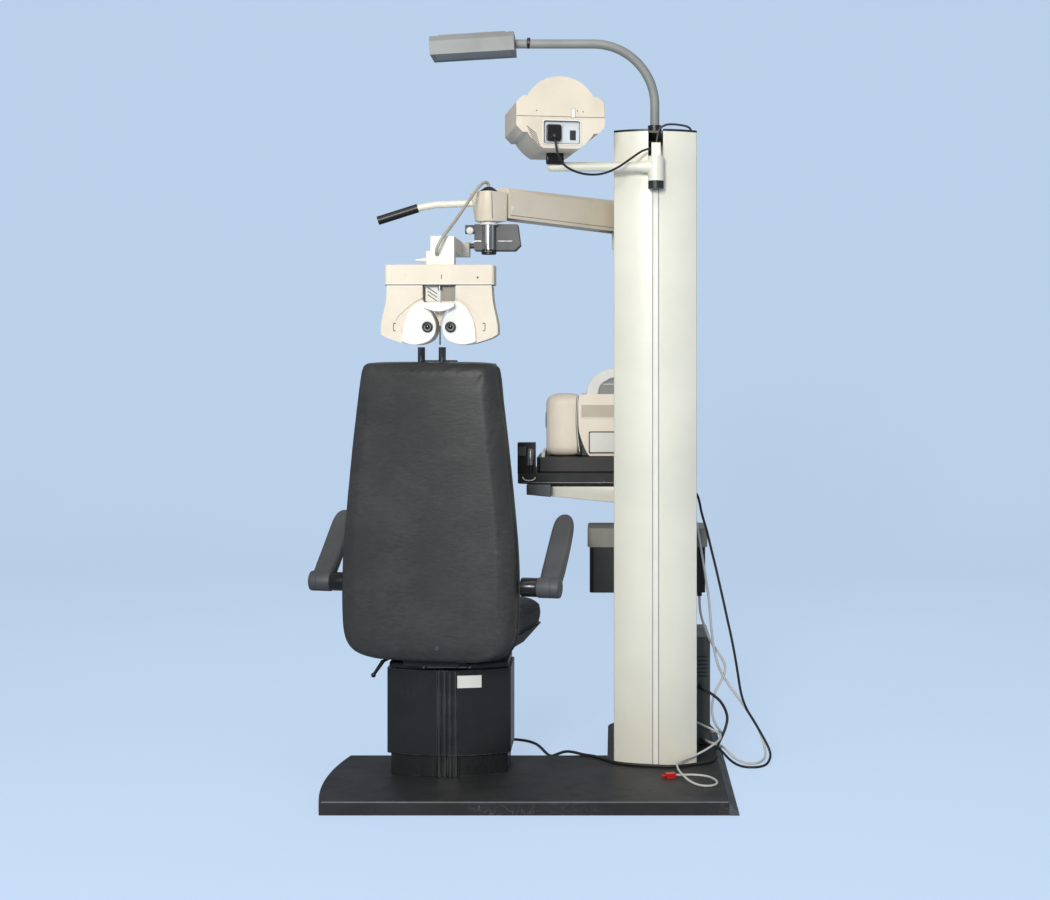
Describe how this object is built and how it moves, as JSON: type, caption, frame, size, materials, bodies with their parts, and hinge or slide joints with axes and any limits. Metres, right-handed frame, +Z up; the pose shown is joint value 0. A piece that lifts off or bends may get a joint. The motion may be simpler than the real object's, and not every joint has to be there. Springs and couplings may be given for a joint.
{
  "type": "ophthalmic examination chair",
  "caption": "Black upholstered eye examination chair on a telescoping pedestal, joined by a base plate to an instrument column with lamp, chart projector, phoropter arm and side table.",
  "frame": {"origin": "on the floor under the base plate, on the axis that the chair turns about", "axes": "+Z up; +X from the chair towards the instrument column; +Y away from the side that the picture was taken from"},
  "size_m": [1.2532, 0.976, 2.0335],
  "materials": {
    "black_laminate": "satin black laminate",
    "aluminium_trim": "dull grooved ramp strip",
    "pedestal_black": "glossy black moulding",
    "bare_steel": "machined steel",
    "black_paint": "black powder coat",
    "seat_leather": "fine-grained black upholstery",
    "arm_pu": "dark grey moulded skin foam",
    "chrome_rod": "polished chrome",
    "ivory_paint": "satin ivory enamel",
    "white_strip": "white cover strip",
    "satin_silver": "satin silver",
    "lamp_glass": "opal pane",
    "beige_plastic": "beige moulding",
    "blue_panel": "pale blue anodised plate",
    "black_plastic": "black moulding",
    "lens": "coated lens",
    "white_plastic": "white moulding",
    "grey_paint": "dark grey enamel",
    "post_steel": "dark grey satin rod",
    "cable_black": "matt black sheath",
    "cable_white": "white sheath",
    "cable_beige": "beige-grey sheath",
    "red_moulding": "red moulded connector"
  },
  "bodies": {
    "stand": {"base_plate": "black_laminate", "base_edge_trim": "aluminium_trim", "pedestal_lower_cover": "pedestal_black", "lift_drive": "bare_steel", "column_profile": "ivory_paint", "column_slot_strip": "white_strip", "column_cap": "black_plastic", "projector_carriage": "bare_steel", "phoropter_bracket": "ivory_paint", "table_bracket": "ivory_paint", "control_box": "black_plastic", "transformer_box": "grey_paint", "cable_glands": "black_plastic", "top_cable": "cable_beige", "cable_a": "cable_black", "cable_b": "cable_white", "cable_c": "cable_white", "mains_cable": "cable_black", "mains_plug": "black_plastic", "red_plug_lead": "cable_white", "red_plug": "red_moulding"},
    "lift": {"lift_ram": "bare_steel", "pedestal_upper_cover": "pedestal_black", "pedestal_trim_strip": "pedestal_black"},
    "chair": {"chair_frame": "black_paint", "seat_pan": "black_plastic", "seat_cushion": "seat_leather", "backrest_shell": "seat_leather", "backrest_cushion": "seat_leather"},
    "arm_left": {"armrest_left": "arm_pu"},
    "arm_right": {"armrest_right": "arm_pu"},
    "brake": {"brake_lever": "chrome_rod"},
    "headrest": {"headrest_posts": "post_steel", "headrest_cushion": "seat_leather"},
    "lamp_arm": {"lamp_tube": "ivory_paint"},
    "lamp_head": {"lamp_housing": "satin_silver", "lamp_diffuser": "lamp_glass"},
    "projector_swing": {"projector_arm": "ivory_paint"},
    "projector_head": {"projector_joint": "black_paint", "projector_upper_shell": "beige_plastic", "projector_lower_shell": "beige_plastic", "projector_rear_panel": "blue_panel", "projector_lens": "lens", "projector_cord": "cable_black"},
    "projector_rocker": {"projector_switch": "black_plastic"},
    "phoropter_yaw": {"phoropter_hinge": "bare_steel"},
    "phoropter_boom": {"phoropter_beam": "ivory_paint"},
    "phoropter_leveller": {"phoropter_knuckle": "ivory_paint"},
    "phoropter_swivel": {"phoropter_post": "chrome_rod", "cross_slide": "grey_paint", "phoropter_cable": "cable_beige"},
    "phoropter_shift": {"phoropter_carrier": "ivory_paint", "phoropter_bridge": "beige_plastic", "forehead_rest": "white_plastic"},
    "unit_left": {"phoropter_unit_left": "white_plastic"},
    "unit_right": {"phoropter_unit_right": "white_plastic"},
    "table": {"table_top": "black_laminate", "table_switch_box": "black_plastic", "instrument_base": "black_plastic"},
    "instrument": {"instrument_body": "beige_plastic"}
  },
  "joints": [
    {"name": "seat_lift", "type": "slide", "parent": "stand", "child": "lift", "axis": [0, 0, 1], "range_m": [-0.045, 0.14]},
    {"name": "chair_swivel", "type": "hinge", "parent": "lift", "child": "chair", "pos_m": [0, 0, 0.334], "axis": [0, 0, 1], "range_deg": [-90, 45]},
    {"name": "arm_left_fold", "type": "hinge", "parent": "chair", "child": "arm_left", "pos_m": [-0.03323, -0.14627, 0.545], "axis": [-0.9751, 0.2215, 0], "range_deg": [-45, 45]},
    {"name": "arm_right_fold", "type": "hinge", "parent": "chair", "child": "arm_right", "pos_m": [-0.03323, -0.14627, 0.545], "axis": [-0.9751, 0.2215, 0], "range_deg": [-45, 45]},
    {"name": "brake_turn", "type": "hinge", "parent": "chair", "child": "brake", "pos_m": [-0.1562, -0.04655, 0.338], "axis": [0.2215, 0.9751, 0], "range_deg": [-20, 20]},
    {"name": "headrest_height", "type": "slide", "parent": "chair", "child": "headrest", "axis": [0, 0, 1], "range_m": [0, 0.06]},
    {"name": "lamp_swing", "type": "hinge", "parent": "stand", "child": "lamp_arm", "pos_m": [0.55, 0.105, 1.75], "axis": [0, 0, 1], "range_deg": [-60, 60]},
    {"name": "lamp_roll", "type": "hinge", "parent": "lamp_arm", "child": "lamp_head", "pos_m": [0.167, 0.105, 2.004], "axis": [1, 0, 0], "range_deg": [-45, 45]},
    {"name": "projector_swing", "type": "hinge", "parent": "stand", "child": "projector_swing", "pos_m": [0.55, -0.02, 1.65], "axis": [0, 0, 1], "range_deg": [0, 80]},
    {"name": "projector_tilt", "type": "hinge", "parent": "projector_swing", "child": "projector_head", "pos_m": [0.276, -0.02, 1.668], "axis": [0.9829, 0.1839, 0], "range_deg": [-4, 4]},
    {"name": "projector_switch", "type": "hinge", "parent": "projector_head", "child": "projector_rocker", "pos_m": [0.32867, -0.12205, 1.72], "axis": [0.9829, 0.1839, 0], "range_deg": [-8, 8]},
    {"name": "phoropter_arm_swing", "type": "hinge", "parent": "stand", "child": "phoropter_yaw", "pos_m": [0.455, 0.262, 1.53], "axis": [0, 0, -1], "range_deg": [0, 100]},
    {"name": "phoropter_arm_tilt", "type": "hinge", "parent": "phoropter_yaw", "child": "phoropter_boom", "pos_m": [0.455, 0.262, 1.537], "axis": [0.7676, -0.6409, 0], "range_deg": [-4, 8]},
    {"name": "phoropter_level", "type": "hinge", "parent": "phoropter_boom", "child": "phoropter_leveller", "pos_m": [0.111, -0.15, 1.537], "axis": [0.7676, -0.6409, 0], "range_deg": [-8, 4]},
    {"name": "phoropter_swivel", "type": "hinge", "parent": "phoropter_leveller", "child": "phoropter_swivel", "pos_m": [0.111, -0.15, 1.45], "axis": [0, 0, 1], "range_deg": [-30, 20]},
    {"name": "phoropter_shift", "type": "slide", "parent": "phoropter_swivel", "child": "phoropter_shift", "axis": [1, 0, 0], "range_m": [-0.012, 0.012]},
    {"name": "pupil_left", "type": "slide", "parent": "phoropter_shift", "child": "unit_left", "axis": [-1, 0, 0], "range_m": [-0.004, 0.008]},
    {"name": "pupil_right", "type": "slide", "parent": "phoropter_shift", "child": "unit_right", "axis": [1, 0, 0], "range_m": [-0.004, 0.008]},
    {"name": "table_slide", "type": "slide", "parent": "stand", "child": "table", "axis": [1, 0, 0], "range_m": [-0.2, 0]},
    {"name": "instrument_shift", "type": "slide", "parent": "table", "child": "instrument", "axis": [1, 0, 0], "range_m": [-0.02, 0.02]}
  ],
  "couplings": [
    {"joint": "phoropter_level", "follows": "phoropter_arm_tilt", "ratio": -1},
    {"joint": "pupil_right", "follows": "pupil_left", "ratio": 1}
  ]
}
